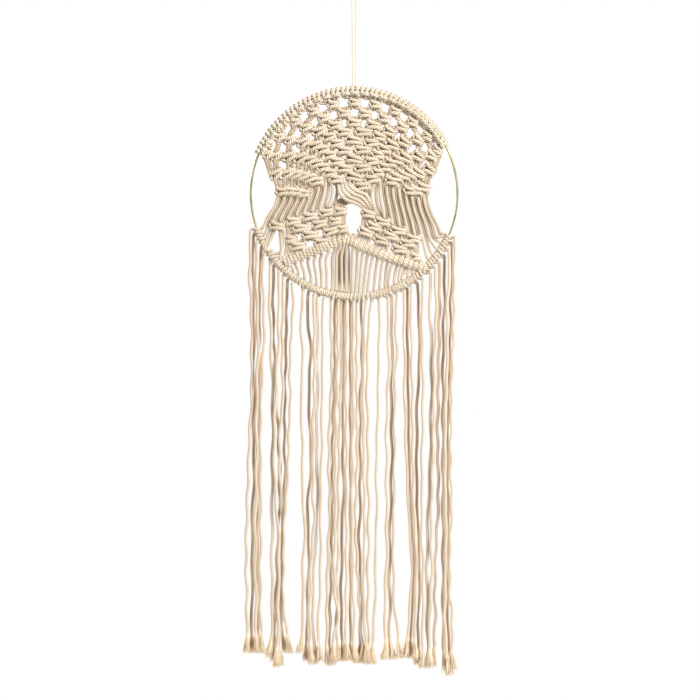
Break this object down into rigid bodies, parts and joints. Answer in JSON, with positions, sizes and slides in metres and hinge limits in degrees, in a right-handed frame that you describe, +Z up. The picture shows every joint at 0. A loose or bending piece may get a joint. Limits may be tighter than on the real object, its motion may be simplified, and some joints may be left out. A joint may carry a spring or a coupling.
{
  "type": "dream catcher",
  "caption": "Macrame wall hanging: a thin metal hoop on a doubled hanging cord, a knotted cotton web inside it and a long frayed fringe below.",
  "frame": {"origin": "where a hook carries the top of the hanger's loop, straight above the hoop's centre", "axes": "+Z up, the front faces -Y, +X to the right seen from the front"},
  "size_m": [0.3073, 0.0158, 0.9911],
  "materials": {
    "hoop_metal": "satin",
    "cotton_cord": "matte",
    "hanger_cord": "matte"
  },
  "bodies": {
    "hanger": {"hanger_loop": "hanger_cord"},
    "hanger_tie": {"hanger_knot": "hanger_cord"},
    "hoop": {"hoop": "hoop_metal", "lark_heads_left": "cotton_cord", "lark_heads_right": "cotton_cord", "hoop_hitches_left": "cotton_cord", "hoop_hitches_right": "cotton_cord", "net_open_rows": "cotton_cord", "net_dense_rows": "cotton_cord", "centre_knot": "cotton_cord", "bare_cords_left": "cotton_cord", "bare_cords_right": "cotton_cord", "chevron_left": "cotton_cord", "chevron_right": "cotton_cord", "drop_cords_left": "cotton_cord", "drop_cords_right": "cotton_cord"},
    "fringe_1": {"strand_01": "cotton_cord", "strand_02": "cotton_cord", "strand_03": "cotton_cord", "strand_04": "cotton_cord", "strand_05": "cotton_cord"},
    "fringe_2": {"strand_06": "cotton_cord", "strand_07": "cotton_cord", "strand_08": "cotton_cord", "strand_09": "cotton_cord", "strand_10": "cotton_cord", "strand_11": "cotton_cord"},
    "fringe_3": {"strand_12": "cotton_cord", "strand_13": "cotton_cord", "strand_14": "cotton_cord", "strand_15": "cotton_cord", "strand_16": "cotton_cord"},
    "fringe_4": {"strand_17": "cotton_cord", "strand_18": "cotton_cord", "strand_19": "cotton_cord", "strand_20": "cotton_cord", "strand_21": "cotton_cord", "strand_22": "cotton_cord"},
    "fringe_5": {"strand_23": "cotton_cord", "strand_24": "cotton_cord", "strand_25": "cotton_cord", "strand_26": "cotton_cord", "strand_27": "cotton_cord", "strand_28": "cotton_cord", "strand_29": "cotton_cord"},
    "fringe_6": {"strand_30": "cotton_cord", "strand_31": "cotton_cord", "strand_32": "cotton_cord"},
    "fringe_7": {"strand_33": "cotton_cord", "strand_34": "cotton_cord", "strand_35": "cotton_cord", "strand_36": "cotton_cord", "strand_37": "cotton_cord"},
    "fringe_8": {"strand_38": "cotton_cord", "strand_39": "cotton_cord", "strand_40": "cotton_cord"},
    "fringe_9": {"strand_41": "cotton_cord", "strand_42": "cotton_cord", "strand_43": "cotton_cord", "strand_44": "cotton_cord"}
  },
  "joints": [
    {"name": "hanger_twist", "type": "hinge", "parent": "hanger", "child": "hanger_tie", "pos_m": [0, 0, -0.15], "axis": [0, 0, 1], "range_deg": [-90, 90], "stiffness_Nm_per_rad": 0.0015},
    {"name": "hoop_tilt", "type": "hinge", "parent": "hanger_tie", "child": "hoop", "pos_m": [0, 0, -0.15], "axis": [1, 0, 0], "range_deg": [-30, 30]},
    {"name": "fringe_1_sway", "type": "hinge", "parent": "hoop", "child": "fringe_1", "pos_m": [0, 0, -0.3879], "axis": [1, 0, 0], "range_deg": [-35, 35]},
    {"name": "fringe_2_sway", "type": "hinge", "parent": "hoop", "child": "fringe_2", "pos_m": [0, 0, -0.4288], "axis": [1, 0, 0], "range_deg": [-35, 35]},
    {"name": "fringe_3_sway", "type": "hinge", "parent": "hoop", "child": "fringe_3", "pos_m": [0, 0, -0.45], "axis": [1, 0, 0], "range_deg": [-35, 35]},
    {"name": "fringe_4_sway", "type": "hinge", "parent": "hoop", "child": "fringe_4", "pos_m": [0, 0, -0.4559], "axis": [1, 0, 0], "range_deg": [-35, 35]},
    {"name": "fringe_5_sway", "type": "hinge", "parent": "hoop", "child": "fringe_5", "pos_m": [0, 0, -0.4563], "axis": [1, 0, 0], "range_deg": [-35, 35]},
    {"name": "fringe_6_sway", "type": "hinge", "parent": "hoop", "child": "fringe_6", "pos_m": [0, 0, -0.4485], "axis": [1, 0, 0], "range_deg": [-35, 35]},
    {"name": "fringe_7_sway", "type": "hinge", "parent": "hoop", "child": "fringe_7", "pos_m": [0, 0, -0.4389], "axis": [1, 0, 0], "range_deg": [-35, 35]},
    {"name": "fringe_8_sway", "type": "hinge", "parent": "hoop", "child": "fringe_8", "pos_m": [0, 0, -0.4116], "axis": [1, 0, 0], "range_deg": [-35, 35]},
    {"name": "fringe_9_sway", "type": "hinge", "parent": "hoop", "child": "fringe_9", "pos_m": [0, 0, -0.3879], "axis": [1, 0, 0], "range_deg": [-35, 35]}
  ]
}
